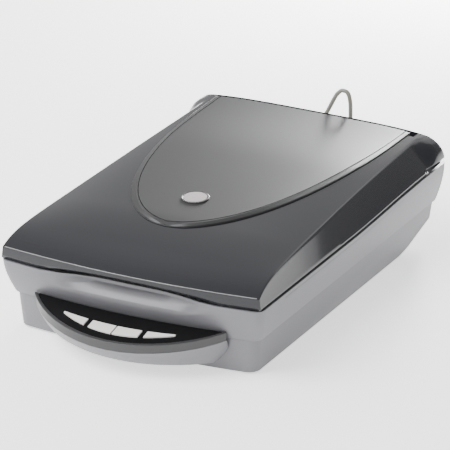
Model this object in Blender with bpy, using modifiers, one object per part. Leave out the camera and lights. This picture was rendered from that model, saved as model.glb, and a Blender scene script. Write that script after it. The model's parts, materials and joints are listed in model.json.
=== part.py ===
"""Flatbed scanner with a film lamp in its lid, as an assembly of separate parts.

Sizes below are in millimetres, and every mesh is made in metres. X runs to the
right, Y to the back and Z up. Parts are placed about the middle of the case,
and one empty moves them so that the origin is under the middle of the object.
"""

import math

import bmesh
import bpy
from mathutils import Vector

MM = 0.001

# Driving dimensions.
CASE_WIDTH = 291.0
CASE_DEPTH = 420.0
FRAME_SHIFT_Y = 19.0
FRONT_BOW = 11.0
WALL = 2.6
GAP = 0.3

FLOOR_Z = 2.0
SEAM_Z = 38.0
RIM_FRONT_Z = 75.0
RIM_REAR_Z = 79.5
BEZEL_Z = 73.0
BEZEL_THICKNESS = 2.5

UPPER_TUCK_X = 8.0
UPPER_TUCK_Y = 12.0
LOWER_TUCK_X = 10.5
LOWER_TUCK_Y = 13.0

PLATEN_HALF_X = 108.0
PLATEN_FRONT_Y = -165.0
PLATEN_REAR_Y = 150.0

CHIN_HALF_WIDTH = 107.0
CHIN_RADIUS = 127.0
CHIN_FRONT_Y = -262.0
PANEL_REAR_Z = 45.0
PANEL_SLOPE = 0.19
BUTTON_FRONT_Y = -247.7
BUTTON_REAR_Y = -234.4

LID_HALF_WIDTH = 144.0
LID_FRONT_Y = -208.0
LID_REAR_Y = 206.0
LID_GAP = 1.2
LID_WALL = 2.2
TONGUE_MIDDLE_X = -3.0
TONGUE_RISE_FRONT = 3.0
TONGUE_RISE_REAR = 0.9
LID_REAR_EDGE_Z = 84.3
HINGE_Y = 197.0
HINGE_Z = 92.5
POST_X = 95.0

CARRIAGE_HOME_Y = 121.0
CARRIAGE_LENGTH = 60.0
PULLEY_X = 40.0
PULLEY_RADIUS = 7.0
DRIVE_Y = 180.0
IDLER_Y = -186.0
GEAR_TEETH = 48
PINION_TEETH = 12
GEAR_MODULE = 0.5

CABLE_DIAMETER = 4.4
CABLE_ROUTE = [
    (0.0, 210.4, 98.0),
    (0.3, 214.5, 98.8),
    (3.0, 218.8, 105.0),
    (8.0, 220.5, 116.0),
    (13.5, 221.0, 126.0),
    (20.5, 221.2, 131.0),
    (26.0, 221.4, 127.0),
    (28.0, 221.5, 118.0),
    (28.4, 221.5, 106.0),
    (28.4, 221.0, 92.0),
    (28.2, 219.5, 78.0),
    (28.0, 218.0, 68.5),
]


def clear_scene():
    for obj in list(bpy.data.objects):
        bpy.data.objects.remove(obj, do_unlink=True)


def make_collection(name):
    collection = bpy.data.collections.new(name)
    bpy.context.scene.collection.children.link(collection)
    return collection


clear_scene()
PARTS = make_collection("flatbed_scanner")
CUTTERS = make_collection("cutters")
FRAME = bpy.data.objects.new("scanner_frame", None)
FRAME.location = (0.0, FRAME_SHIFT_Y * MM, 0.0)
PARTS.objects.link(FRAME)


def material(name, color, roughness, metallic=0.0):
    """One Principled material, shared by every part that asks for its name."""
    found = bpy.data.materials.get(name)
    if found:
        return found
    made = bpy.data.materials.new(name)
    made.use_nodes = True
    shader = made.node_tree.nodes["Principled BSDF"]
    shader.inputs["Base Color"].default_value = (*color, 1.0)
    shader.inputs["Roughness"].default_value = roughness
    shader.inputs["Metallic"].default_value = metallic
    return made


SILVER = material("silver_paint", (0.47, 0.47, 0.49), 0.35, 0.3)
BLACK_GLOSS = material("black_gloss", (0.02, 0.02, 0.023), 0.08)
GUNMETAL = material("gunmetal_paint", (0.22, 0.22, 0.22), 0.25, 0.5)
DARK_RIM = material("dark_rim", (0.12, 0.12, 0.12), 0.3)
PEARL = material("pearl_button", (0.86, 0.84, 0.8), 0.3)
BLACK_PLASTIC = material("black_plastic", (0.03, 0.03, 0.03), 0.5)
WHITE_PLASTIC = material("white_plastic", (0.85, 0.85, 0.85), 0.5)
GLASS = material("glass", (0.8, 0.9, 0.88), 0.02)
STEEL = material("steel", (0.6, 0.6, 0.6), 0.25, 1.0)
RUBBER = material("rubber", (0.04, 0.04, 0.04), 0.8)
BOARD = material("circuit_board", (0.02, 0.2, 0.08), 0.5)
GREY_CORD = material("grey_cord", (0.42, 0.41, 0.37), 0.5)
PINK_BADGE = material("pink_badge", (0.75, 0.68, 0.7), 0.3, 0.4)


def link_part(obj, finish):
    """Puts an object among the parts, with its material and round shading."""
    PARTS.objects.link(obj)
    obj.parent = FRAME
    if finish:
        obj.data.materials.append(finish)
    if obj.type == "MESH":
        obj.data.shade_smooth()
        obj.data.set_sharp_from_angle(angle=math.radians(35))
    return obj


def object_from_bmesh(name, shape):
    bmesh.ops.remove_doubles(shape, verts=shape.verts, dist=1e-6)
    bmesh.ops.recalc_face_normals(shape, faces=shape.faces)
    mesh = bpy.data.meshes.new(name)
    shape.to_mesh(mesh)
    shape.free()
    return bpy.data.objects.new(name, mesh)


def box(name, low, high, finish=None, bevel=0.0):
    """A box between two corners, with its edges rounded where asked."""
    shape = bmesh.new()
    size = [(b - a) * MM for a, b in zip(low, high)]
    centre = [(a + b) * 0.5 * MM for a, b in zip(low, high)]
    bmesh.ops.create_cube(shape, size=1.0)
    bmesh.ops.scale(shape, vec=size, verts=shape.verts)
    obj = object_from_bmesh(name, shape)
    obj.location = centre
    if bevel:
        rounding = obj.modifiers.new("rounding", "BEVEL")
        rounding.width = bevel * MM
        rounding.segments = 1
    return link_part(obj, finish) if finish else obj


def cylinder(name, centre, radius, length, axis, finish=None, sides=20):
    """A plain cylinder about its centre, along the X, Y or Z axis."""
    shape = bmesh.new()
    bmesh.ops.create_cone(
        shape,
        cap_ends=True,
        segments=sides,
        radius1=radius * MM,
        radius2=radius * MM,
        depth=length * MM,
    )
    obj = object_from_bmesh(name, shape)
    turns = {"X": (0.0, math.pi / 2, 0.0), "Y": (math.pi / 2, 0.0, 0.0), "Z": (0.0, 0.0, 0.0)}
    obj.rotation_euler = turns[axis]
    obj.location = [c * MM for c in centre]
    return link_part(obj, finish) if finish else obj


def turned(name, centre, profile, finish, sides=24):
    """A turned part from (radius, height) points that run down its outer side."""
    mesh = bpy.data.meshes.new(name)
    points = [(r * MM, 0.0, z * MM) for r, z in profile]
    edges = [(i, i + 1) for i in range(len(points) - 1)]
    mesh.from_pydata(points, edges, [])
    obj = bpy.data.objects.new(name, mesh)
    obj.location = [c * MM for c in centre]
    screw = obj.modifiers.new("turning", "SCREW")
    screw.axis = "Z"
    screw.steps = sides
    screw.render_steps = sides
    screw.use_merge_vertices = True
    screw.merge_threshold = 0.00001
    return link_part(obj, finish)


def loft(name, rings, finish=None, closed=False):
    """A solid through rings of (x, y, z) points, capped unless it closes on itself."""
    shape = bmesh.new()
    rows = [[shape.verts.new([c * MM for c in point]) for point in ring] for ring in rings]
    count = len(rings[0])
    pairs = list(zip(rows, rows[1:]))
    if closed:
        pairs.append((rows[-1], rows[0]))
    for lower, upper in pairs:
        for i in range(count):
            j = (i + 1) % count
            shape.faces.new((lower[i], lower[j], upper[j], upper[i]))
    if not closed:
        shape.faces.new(reversed(rows[0]))
        shape.faces.new(rows[-1])
    obj = object_from_bmesh(name, shape)
    return link_part(obj, finish) if finish else obj


def prism(name, outline, low, high, finish=None):
    """A flat outline raised between two heights, which may be functions of y."""
    bottom = [(x, y, low(y) if callable(low) else low) for x, y in outline]
    top = [(x, y, high(y) if callable(high) else high) for x, y in outline]
    return loft(name, [bottom, top], finish)


def hide_cutter(obj):
    CUTTERS.objects.link(obj)
    obj.parent = FRAME
    obj.hide_render = True
    obj.display_type = "WIRE"
    return obj


def cut(obj, cutter):
    """Takes a cutter's volume away from a part."""
    hide_cutter(cutter)
    change = obj.modifiers.new("cut_" + cutter.name, "BOOLEAN")
    change.operation = "DIFFERENCE"
    change.object = cutter


def join(obj, addition):
    """Adds another solid's volume to a part."""
    hide_cutter(addition)
    change = obj.modifiers.new("join_" + addition.name, "BOOLEAN")
    change.operation = "UNION"
    change.object = addition


def smooth_step(value):
    value = min(max(value, 0.0), 1.0)
    return value * value * (3.0 - 2.0 * value)


def blend_between(points, value):
    """Straight interpolation through (position, level) pairs."""
    if value <= points[0][0]:
        return points[0][1]
    for (p0, v0), (p1, v1) in zip(points, points[1:]):
        if value <= p1:
            return v0 + (v1 - v0) * (value - p0) / (p1 - p0)
    return points[-1][1]


def bow(x):
    """How far the front bulges forward at x."""
    return FRONT_BOW * (1.0 - (2.0 * x / CASE_WIDTH) ** 2)


def outline(half_x, front_y, rear_y, corner, bowed=1.0, scoop=None):
    """A rounded rectangle seen from above, with a bowed front edge."""
    steps = 4
    points = []
    front_count = 14
    for i in range(1, front_count):
        x = -half_x + corner + (2.0 * (half_x - corner)) * i / front_count
        points.append((x, front_y))
    corners = [
        (half_x - corner, front_y + corner, -90.0),
        (half_x - corner, rear_y - corner, 0.0),
        (-half_x + corner, rear_y - corner, 90.0),
        (-half_x + corner, front_y + corner, 180.0),
    ]
    for number, (cx, cy, start) in enumerate(corners):
        for step in range(steps + 1):
            angle = math.radians(start + 90.0 * step / steps)
            points.append((cx + corner * math.cos(angle), cy + corner * math.sin(angle)))
        if number in (0, 2):
            ahead = 1.0 if number == 0 else -1.0
            for i in range(1, 8):
                along = i / 8.0 if ahead > 0 else 1.0 - i / 8.0
                y = front_y + corner + (rear_y - front_y - 2.0 * corner) * along
                points.append((half_x * ahead, y))
    shaped = []
    for x, y in points:
        nearness = smooth_step(1.0 - (y - front_y) / 40.0)
        moved = y - bowed * bow(x) * nearness
        if scoop and y < front_y + 0.5 * corner:
            moved += scoop(x)
        shaped.append((x, moved))
    return shaped


def at_height(points, height):
    """Lifts (x, y) points to a height, which may be a function of y."""
    return [(x, y, height(y) if callable(height) else height) for x, y in points]


def rim_height(y):
    """Top of the case's outer rim, higher towards the back."""
    return RIM_FRONT_Z + (RIM_REAR_Z - RIM_FRONT_Z) * smooth_step((y + 10.0) / 170.0)


def upper_inset(z):
    """How far the upper case tucks in at a height, as a share of its full tuck."""
    share = min(max((RIM_FRONT_Z - z) / (RIM_FRONT_Z - SEAM_Z), 0.0), 1.0)
    return share**1.6


def finger_scoop(z):
    """The hollow under the middle of the lid's front edge, at a height."""
    depth = 15.0 * smooth_step((z - 60.0) / 13.0)
    return lambda x: depth * smooth_step(1.0 - (abs(x) / 98.0) ** 2)


def upper_outline(z, inward=0.0):
    tuck = upper_inset(z)
    return outline(
        CASE_WIDTH / 2 - UPPER_TUCK_X * tuck - inward,
        -CASE_DEPTH / 2 + UPPER_TUCK_Y * tuck + inward,
        CASE_DEPTH / 2 - 4.0 * tuck - inward,
        max(9.0 - inward * 0.5, 4.0),
        scoop=finger_scoop(z),
    )


def lower_outline(z, inward=0.0):
    """The lower case tapers in, and its back slopes up from the floor."""
    share = min(max((SEAM_Z - z) / (SEAM_Z - FLOOR_Z), 0.0), 1.0)
    rear = blend_between([(FLOOR_Z, 135.0), (4.5, 153.0), (19.0, 202.0), (SEAM_Z, 205.5)], z)
    return outline(
        CASE_WIDTH / 2 - LOWER_TUCK_X - 3.0 * share - inward,
        -CASE_DEPTH / 2 + LOWER_TUCK_Y + 3.0 * share + inward,
        rear - inward,
        max(10.0 - inward * 0.5, 4.0),
    )


def front_wall_y(x, z):
    """Y of the case's front wall, upper or lower, away from the corners."""
    if z > SEAM_Z:
        return -CASE_DEPTH / 2 + UPPER_TUCK_Y * upper_inset(z) - bow(x)
    share = (SEAM_Z - z) / (SEAM_Z - FLOOR_Z)
    return -CASE_DEPTH / 2 + LOWER_TUCK_Y + 3.0 * share - bow(x)


def upper_lining(z, roof=False):
    """Inside of the upper case: thick at the front, where the finger scoop is."""
    tuck = upper_inset(z)
    front_wall = 21.0 if z > 58.0 or roof else WALL
    side_wall = 5.6 if roof or z > 58.0 else WALL
    return outline(
        CASE_WIDTH / 2 - UPPER_TUCK_X * tuck - side_wall,
        -CASE_DEPTH / 2 + UPPER_TUCK_Y * tuck + front_wall,
        CASE_DEPTH / 2 - 4.0 * tuck - side_wall,
        6.0,
    )


def make_upper_case():
    """The upper half of the housing, with the platen opening and the finger scoop."""
    platen = outline(PLATEN_HALF_X, PLATEN_FRONT_Y, PLATEN_REAR_Y, 4.0, bowed=0.0)
    under = BEZEL_Z - BEZEL_THICKNESS
    heights = (SEAM_Z + GAP, 42.0, 50.0, 57.0, 62.0, 67.0, 71.5)
    outside = [at_height(upper_outline(z), z) for z in heights]
    rim_outer = at_height(upper_outline(RIM_FRONT_Z), rim_height)
    rim_inner = at_height(upper_outline(RIM_FRONT_Z, 4.0), rim_height)
    ledge = at_height(upper_outline(RIM_FRONT_Z, 5.0), BEZEL_Z)
    inside = [at_height(upper_lining(z), z) for z in (60.0, 50.0, 42.0, SEAM_Z + GAP)]
    rings = outside + [rim_outer, rim_inner, ledge]
    rings += [at_height(platen, BEZEL_Z), at_height(platen, under)]
    rings += [at_height(upper_lining(RIM_FRONT_Z, True), under)] + inside
    case = loft("upper_case", rings, SILVER, closed=True)
    for side in (-1, 1):
        x = side * POST_X
        cut(case, box(f"post_hole_{side}", (x - 8.6, 191.9, 58.0), (x + 8.6, 202.1, 80.0)))
    cut(case, box("lamp_port", (20.0, 195.0, 49.0), (36.0, 215.0, 61.0)))
    return case


def make_lower_case():
    """The tray that carries the works, with its ports, screw holes and lock slot."""
    heights = (FLOOR_Z, 4.5, 19.0, SEAM_Z)
    outside = [at_height(lower_outline(z), z) for z in heights]
    inner_heights = (SEAM_Z, 20.5, 7.0, 4.6)
    inside = [at_height(lower_outline(z, WALL if z > 5 else 3.4), z) for z in inner_heights]
    case = loft("lower_case", outside + inside, SILVER)
    cut(case, box("power_port", (-66.0, 190.0, 25.2), (-54.0, 212.0, 34.6)))
    cut(case, box("usb_port", (-95.0, 190.0, 25.2), (-81.0, 212.0, 34.6)))
    cut(case, box("lock_slot", (-46.0, -112.0, 0.0), (-34.0, -84.0, 8.0)))
    for number, (x, y) in enumerate(SCREW_PLACES):
        cut(case, cylinder(f"screw_hole_{number}", (x, y, 3.0), 3.9, 10.0, "Z"))
    return case


SCREW_PLACES = [(-118.0, -150.0), (118.0, -150.0)]
FOOT_PLACES = {
    "foot_front_left": (-112.0, -172.0),
    "foot_front_right": (112.0, -172.0),
    "foot_rear_left": (-112.0, 112.0),
    "foot_rear_right": (112.0, 112.0),
}


def make_case_fittings():
    for name, (x, y) in FOOT_PLACES.items():
        turned(name, (x, y, 0.0), [(0.0, 1.7), (8.0, 1.7), (8.0, 0.8), (7.0, 0.0), (0.0, 0.0)], RUBBER)
    screw_profile = [(0.0, 24.0), (1.5, 24.0), (1.5, 5.0), (3.4, 5.0), (3.4, 2.6), (0.0, 2.6)]
    for name, (x, y) in zip(("case_screw_left", "case_screw_right"), SCREW_PLACES):
        turned(name, (x, y, 0.0), screw_profile, STEEL, 16)
    lock = box("carriage_lock", (-45.0, -105.0, 3.0), (-35.0, -93.0, 7.0), BLACK_PLASTIC)
    join(lock, box("lock_wing", (-49.0, -108.0, 6.0), (-31.0, -90.0, 8.5)))
    glass_low = (-118.0, -175.0, BEZEL_Z - BEZEL_THICKNESS - GAP - 3.0)
    glass_high = (118.0, 160.0, BEZEL_Z - BEZEL_THICKNESS - GAP)
    box("platen_glass", glass_low, glass_high, GLASS)
    strip_top = glass_low[2] - GAP
    box("reference_strip", (-106.0, 152.0, strip_top - 0.6), (106.0, 160.0, strip_top), WHITE_PLASTIC)


def chin_outline(half_x, radius, front_y, rear, past_rear=0.0):
    """A half-moon: its rear edge follows the front wall, its front is an arc."""
    steps = 20
    centre_y = front_y + radius
    end_y = centre_y - math.sqrt(radius**2 - half_x**2)
    points = []
    for i in range(steps + 1):
        x = half_x * math.sin(math.pi * (i / steps - 0.5))
        arc = centre_y - math.sqrt(radius**2 - x**2)
        back = rear(x)
        points.append((x, min(arc + (rear(half_x) - 1.2 - end_y) * (abs(x) / half_x) ** 4, back - 1.2)))
    for i in range(1, steps):
        x = half_x * math.sin(math.pi * (0.5 - i / steps))
        points.append((x, rear(x) + past_rear))
    return points


def panel_height(y):
    """The control panel slopes down from the front wall to its front edge."""
    return PANEL_REAR_Z + PANEL_SLOPE * (y + 212.0)


def lowered(amount):
    return lambda y: panel_height(y) - amount


def button_outline(x0, x1, margin=0.0):
    """One button between two sides, curved at its front and its back."""
    steps = 6
    span = [x0 - margin + (x1 - x0 + 2.0 * margin) * i / steps for i in range(steps + 1)]
    front = [(x, BUTTON_FRONT_Y + 0.0045 * x * x - margin) for x in span]
    rear = [(x, BUTTON_REAR_Y + 0.0015 * x * x + margin) for x in reversed(span)]
    return front + rear


BUTTON_SPANS = {
    "button_copy": (-62.0, -33.0),
    "button_scan": (-27.5, -0.7),
    "button_file": (0.7, 27.5),
    "button_mail": (33.0, 62.0),
}


def wall_behind(z, gap):
    """The rear edge of a chin piece: the case's front wall at a height, less a gap."""
    return lambda x: front_wall_y(x, z) - gap


def make_panel():
    """The half-moon control panel: a black fascia in a dark rim."""
    wall = wall_behind(PANEL_REAR_Z + 1.5, GAP)
    half, radius, front = CHIN_HALF_WIDTH, CHIN_RADIUS, CHIN_FRONT_Y
    inset = chin_outline(half - 4.4, radius - 4.4, front + 4.4, wall)
    fascia = prism("panel_fascia", inset, lowered(2.4), panel_height, BLACK_GLOSS)
    for name, (x0, x1) in BUTTON_SPANS.items():
        hole = button_outline(x0, x1, 0.45)
        cut(fascia, prism(name + "_hole", hole, lowered(9.0), lowered(-5.0)))
    rim_outline = chin_outline(half, radius, front, wall)
    rim = prism("panel_rim", rim_outline, lowered(8.0), lowered(-0.6), DARK_RIM)
    room = chin_outline(half - 4.0, radius - 4.0, front + 4.0, wall, 12.0)
    cut(rim, prism("rim_room", room, 10.0, 60.0))


def make_buttons():
    """Four caps in the panel, each with a stem over the button board."""
    for name, (x0, x1) in BUTTON_SPANS.items():
        cap = prism(name, button_outline(x0, x1), lowered(4.0), lowered(-1.2), PEARL)
        x = 0.88 * (x0 + x1) / 2
        y = -241.0 + 0.003 * x * x
        join(cap, cylinder(name + "_stem", (x, y, 34.2), 1.6, 6.0, "Z", sides=12))
    board = chin_outline(64.0, 112.0, CHIN_FRONT_Y + 19.5, lambda x: -227.0)
    prism("button_board", board, 28.6, 30.2, BOARD)


def make_chin():
    """The silver bowl under the panel, hollow from above."""
    rings = []
    for z, share, back_set in ((8.0, 0.84, 22.0), (14.0, 0.9, 13.0), (22.0, 0.96, 6.0), (28.0, 0.99, 2.0)):
        shape = chin_outline(
            CHIN_HALF_WIDTH * share, CHIN_RADIUS, CHIN_FRONT_Y + back_set, wall_behind(z, GAP + 0.2)
        )
        rings.append(at_height(shape, z))
    wall = wall_behind(PANEL_REAR_Z, GAP)
    top = chin_outline(CHIN_HALF_WIDTH, CHIN_RADIUS, CHIN_FRONT_Y + 0.2, wall)
    rings.append(at_height(top, lowered(8.3)))
    chin = loft("chin_shell", rings, SILVER)
    inner_wall = wall_behind(PANEL_REAR_Z, 3.5)
    room_half = CHIN_HALF_WIDTH - 9.0
    floor_half = CHIN_HALF_WIDTH * 0.88 - 9.0
    floor = chin_outline(floor_half, CHIN_RADIUS, CHIN_FRONT_Y + 20.0, inner_wall)
    room = chin_outline(room_half, CHIN_RADIUS, CHIN_FRONT_Y + 9.0, inner_wall)
    cut(chin, loft("chin_room", [at_height(floor, 14.0), at_height(room, 50.0)]))


def lid_share(y):
    """How far back y is along the lid, from 0 at its front to 1."""
    return min(max((y + CASE_DEPTH / 2) / CASE_DEPTH, 0.0), 1.0)


def crease_x(y):
    """Half width of the lid's upper face, where the shoulder starts."""
    return 143.2 - 23.7 * lid_share(y) ** 0.8


def crease_z(y):
    """Height of the lid's upper face along its shoulders."""
    t = lid_share(y)
    return 87.0 + 13.0 * (1.0 - math.exp(-t / 0.045)) + 7.5 * math.sin(math.pi * t / 2.0)


def lid_crown(y):
    return 6.0 * smooth_step((y + 215.0) / 110.0) * (1.0 - 0.5 * smooth_step((y - 60.0) / 150.0))


def lid_top(x, y):
    """Height of the lid's upper face."""
    share = min(abs(x) / crease_x(y), 1.0)
    return crease_z(y) + lid_crown(y) * (1.0 - share**4)


def skirt_z(y):
    """Where the lid's skirt would end if it followed the rim all the way."""
    return rim_height(y) + LID_GAP


def lid_edge_z(y):
    """Lower edge of the lid's skirt, which is cut away behind the rear of the rim."""
    return skirt_z(y) + (LID_REAR_EDGE_Z - skirt_z(y)) * smooth_step((y - 160.0) / 6.0)


def arch_height(x):
    """How far the lid's front edge is cut up over the finger scoop."""
    return 7.4 * (1.0 - min(abs(x) / 102.0, 1.0) ** 2.2)


def shoulder_point(y, share):
    """A point down the right shoulder: flat at the front, rounded at the rear corner."""
    turn = smooth_step((y - 168.0) / 26.0)
    foot = skirt_z(y) + 2.5 + (LID_REAR_EDGE_Z - 1.5 - skirt_z(y)) * turn
    crease = crease_x(y)
    roundness = 0.95 * turn
    angle = share * math.pi / 2.0
    across = share + (math.sin(angle) - share) * roundness
    up = (1.0 - share) + (math.cos(angle) - (1.0 - share)) * roundness
    return (crease + (LID_HALF_WIDTH - crease) * across, foot + (crease_z(y) - foot) * up)


def shoulder_end(y):
    """How far down the shoulder the skirt's lower edge lies, as a share."""
    share = 1.0
    while share > 0.3 and shoulder_point(y, share)[1] < lid_edge_z(y) + 1.0:
        share -= 0.01
    return share


def lid_section(y, solid=False, arched=False, slope=0.0):
    """One ring across the lid at y: over its outside, then back along its inside."""
    edge = lid_edge_z(y)
    crease = crease_x(y)
    ease = (LID_HALF_WIDTH - LID_WALL) / LID_HALF_WIDTH
    shares = [-1.0, -0.95, -0.85, -0.7, -0.5, -0.25, 0.0, 0.25, 0.5, 0.7, 0.85, 0.95, 1.0]
    end = shoulder_end(y)
    facet = [shoulder_point(y, end * share) for share in (0.2, 0.4, 0.6, 0.8, 1.0)]
    half = facet[-1][0]
    over = [(-half, edge)]
    over += [(-x, z) for x, z in reversed(facet)]
    over += [(crease * s, lid_top(crease * s, y)) for s in shares]
    over += facet + [(half, edge)]
    ring = []
    for x, z in over:
        low = arch_height(x) if arched and z <= edge + 2.6 else 0.0
        ring.append((x, y, z + low))
    for number, (x, z) in enumerate(reversed(over)):
        at_edge = number in (0, len(over) - 1)
        inside_x = x * ease
        if number in (1, len(over) - 2):
            inside_x -= math.copysign(0.1, x)
        if solid:
            level = edge + (arch_height(inside_x) if arched else 0.0)
        else:
            level = edge if at_edge else max(z - LID_WALL, edge + 0.6)
        ring.append((inside_x, y, level))
    shaped = []
    for x, y_place, z in ring:
        forward = bow(x) * smooth_step((40.0 - (y_place - LID_FRONT_Y)) / 40.0)
        shaped.append((x, y_place - forward - slope * (z - edge), z))
    return shaped


def make_lid():
    """The glossy lid shell, hollow from below."""
    front = LID_FRONT_Y
    rear = LID_REAR_Y
    back_slope = 0.16
    rings = [lid_section(front, True, True), lid_section(front + LID_WALL, True, True)]
    stations = (front + LID_WALL, -198, -188, -174, -152, -120, -85, -40, 10, 60, 110, 157, 168, 186)
    rings += [lid_section(y) for y in stations]
    rings.append(lid_section(rear - LID_WALL, slope=back_slope))
    rings.append(lid_section(rear - LID_WALL, True, slope=back_slope))
    rings.append(lid_section(rear, True, slope=back_slope))
    lid = loft("lid_shell", rings, BLACK_GLOSS)
    for side in (-1, 1):
        x = side * POST_X
        cut(lid, box(f"post_notch_{side}", (x - 9.4, 192.0, 80.0), (x + 9.4, 220.0, 98.4)))


def tongue_half_width(y):
    """Half width of the tongue-shaped panel: a rounded nose, then gently wider."""
    s = min(max((196.0 - y) / 325.0, 0.0), 1.0)
    return 112.0 * math.sqrt(1.0 - s**2.42)


def tongue_rise(y):
    """How far the tongue stands over the lid, less towards the rear."""
    back = smooth_step((y - 40.0) / 140.0)
    return TONGUE_RISE_FRONT + (TONGUE_RISE_REAR - TONGUE_RISE_FRONT) * back


def make_lid_trim():
    stations = (-128.9, -128.3, -126.5, -122.0, -114.0, -102.0, -85.0, -60.0, -25.0, 15.0, 60.0)
    stations += (110.0, 160.0, 196.0)
    rings = []
    shares = [-1.0, -0.8, -0.55, -0.28, 0.0, 0.28, 0.55, 0.8, 1.0]
    for y in stations:
        half = tongue_half_width(y)
        across = [TONGUE_MIDDLE_X + half * s for s in shares]
        top = [(x, y, lid_top(x, y) + tongue_rise(y)) for x in across]
        under = [(x, y, lid_top(x, y) + GAP) for x in reversed(across)]
        rings.append(top + under)
    loft("tongue_panel", rings, GUNMETAL)
    badge_y = -64.0
    badge_z = lid_top(TONGUE_MIDDLE_X, badge_y) + tongue_rise(badge_y) + GAP + 0.1
    profile = [(0.0, 1.0), (12.8, 1.0), (14.3, 0.4), (14.3, 0.0), (0.0, 0.0)]
    badge = turned("lid_badge", (TONGUE_MIDDLE_X, badge_y, badge_z), profile, PINK_BADGE)
    rise = lid_top(0.0, badge_y + 12.0) - lid_top(0.0, badge_y - 12.0)
    badge.rotation_euler = (math.atan2(rise, 24.0), 0.0, 0.0)


def make_lid_lining():
    """The white inner panel, the film lamp behind its window, and the document pad."""
    lining = box("lid_lining", (-134.0, -198.0, 80.4), (134.0, 157.0, 82.2), WHITE_PLASTIC)
    cut(lining, box("film_window_hole", (-45.3, -120.3, 79.0), (45.3, 120.3, 84.0)))
    box("film_light_guide", (-45.0, -120.0, 80.4), (45.0, 120.0, 84.4), GLASS)
    cylinder("film_lamp", (0.0, 0.0, 87.2), 2.0, 236.0, "Y", WHITE_PLASTIC, 12)
    pad_low = (-105.0, -162.0, BEZEL_Z - BEZEL_THICKNESS)
    box("document_pad", pad_low, (105.0, 147.0, 80.1), WHITE_PLASTIC, 1.0)


def make_hinges():
    """Posts that slide up out of the case, and the yokes by which the lid turns on them."""
    for side, word in ((-1, "left"), (1, "right")):
        x = side * POST_X
        low = (x - 8.0, HINGE_Y - 4.5, 38.6)
        post = box(f"hinge_post_{word}", low, (x + 8.0, HINGE_Y + 4.5, HINGE_Z - 0.6), BLACK_PLASTIC)
        knuckle = cylinder(f"knuckle_{word}", (x, HINGE_Y, HINGE_Z), 4.6, 15.0, "X", sides=24)
        join(post, knuckle)
        bore = cylinder(f"knuckle_bore_{word}", (x, HINGE_Y, HINGE_Z), 2.3, 30.0, "X", sides=24)
        cut(post, bore)
        pin = (x, HINGE_Y, HINGE_Z)
        yoke = cylinder(f"hinge_yoke_{word}", pin, 2.0, 26.0, "X", BLACK_PLASTIC, 24)
        for end in (-1, 1):
            near = x + end * 10.3 - 2.0
            low = (near, HINGE_Y - 5.0, HINGE_Z - 4.0)
            join(yoke, box(f"ear_{word}_{end}", low, (near + 4.0, HINGE_Y + 3.5, 101.5)))
        low = (x - 11.2, HINGE_Y - 9.0, 100.0)
        join(yoke, box(f"bridge_{word}", low, (x + 11.2, HINGE_Y + 3.0, 103.0)))
        low = (x - 11.0, 188.5, 39.0)
        guide = box(f"post_guide_{word}", low, (x + 11.0, 202.9, 70.0), BLACK_PLASTIC)
        low = (x - 8.4, HINGE_Y - 4.9, 30.0)
        cut(guide, box(f"guide_bore_{word}", low, (x + 8.4, HINGE_Y + 4.9, 80.0)))


def make_carriage():
    """The scanning carriage: lamp, mirrors, lens and sensor in one open frame."""
    y0 = CARRIAGE_HOME_Y - CARRIAGE_LENGTH / 2
    y1 = CARRIAGE_HOME_Y + CARRIAGE_LENGTH / 2
    frame = box("carriage_frame", (-116.0, y0, 26.0), (116.0, y1, 63.0), BLACK_PLASTIC)
    cut(frame, box("carriage_room", (-112.0, y0 + 3.0, 30.0), (112.0, y1 - 3.0, 70.0)))
    join(frame, box("rod_boss", (-9.0, y0 + 8.0, 14.0), (9.0, y1 - 8.0, 27.0)))
    cut(frame, cylinder("rod_bore", (0.0, CARRIAGE_HOME_Y, 21.0), 4.35, 90.0, "Y", sides=24))
    cylinder("scan_lamp", (0.0, y0 + 14.0, 59.0), 1.6, 216.0, "X", WHITE_PLASTIC, 12)
    reflector = box("lamp_reflector", (-108.0, y0 + 8.0, 53.0), (108.0, y0 + 18.0, 56.5), STEEL)
    cut(reflector, cylinder("reflector_trough", (0.0, y0 + 14.0, 59.0), 3.6, 230.0, "X"))
    for name, y, z, lean, length in (
        ("mirror_upper", y0 + 27.0, 46.0, 45.0, 190.0),
        ("mirror_lower", y1 - 9.0, 44.0, -50.0, 150.0),
    ):
        mirror = box(name, (-length / 2, -6.0, -1.0), (length / 2, 6.0, 1.0), STEEL)
        mirror.rotation_euler = (math.radians(lean), 0.0, 0.0)
        mirror.location = (0.0, y * MM, z * MM)
    cylinder("scan_lens", (0.0, y0 + 34.0, 36.5), 5.5, 12.0, "Y", BLACK_PLASTIC, 24)
    box("sensor_board", (-40.0, y0 + 4.0, 30.4), (40.0, y0 + 6.0, 50.0), BOARD)
    belt_x = PULLEY_X - PULLEY_RADIUS - 0.8
    clamp = box("belt_clamp", (belt_x - 5.0, y0 + 22.0, 17.2), (belt_x + 5.0, y1 - 22.0, 25.7), BLACK_PLASTIC)
    cut(clamp, box("clamp_slot", (belt_x - 0.9, y0, 12.0), (belt_x + 0.9, y1, 24.4)))


def gear_outline(teeth, centre, phase):
    """A spur gear with short straight-sided teeth and a little backlash."""
    pitch = GEAR_MODULE * teeth / 2
    shape = ((-0.25, -0.62), (-0.13, 0.4), (0.13, 0.4), (0.25, -0.62))
    points = []
    for tooth in range(teeth):
        for offset, height in shape:
            angle = 2.0 * math.pi * (tooth + offset * 0.86) / teeth + phase
            radius = pitch + height
            points.append((centre[0] + radius * math.cos(angle), centre[1] + radius * math.sin(angle)))
    return points


def stadium(centre_x, y_front, y_rear, radius, steps=10):
    points = []
    for i in range(steps + 1):
        angle = math.pi + math.pi * i / steps
        points.append((centre_x + radius * math.cos(angle), y_front + radius * math.sin(angle)))
    for i in range(steps + 1):
        angle = math.pi * i / steps
        points.append((centre_x + radius * math.cos(angle), y_rear + radius * math.sin(angle)))
    return points


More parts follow.
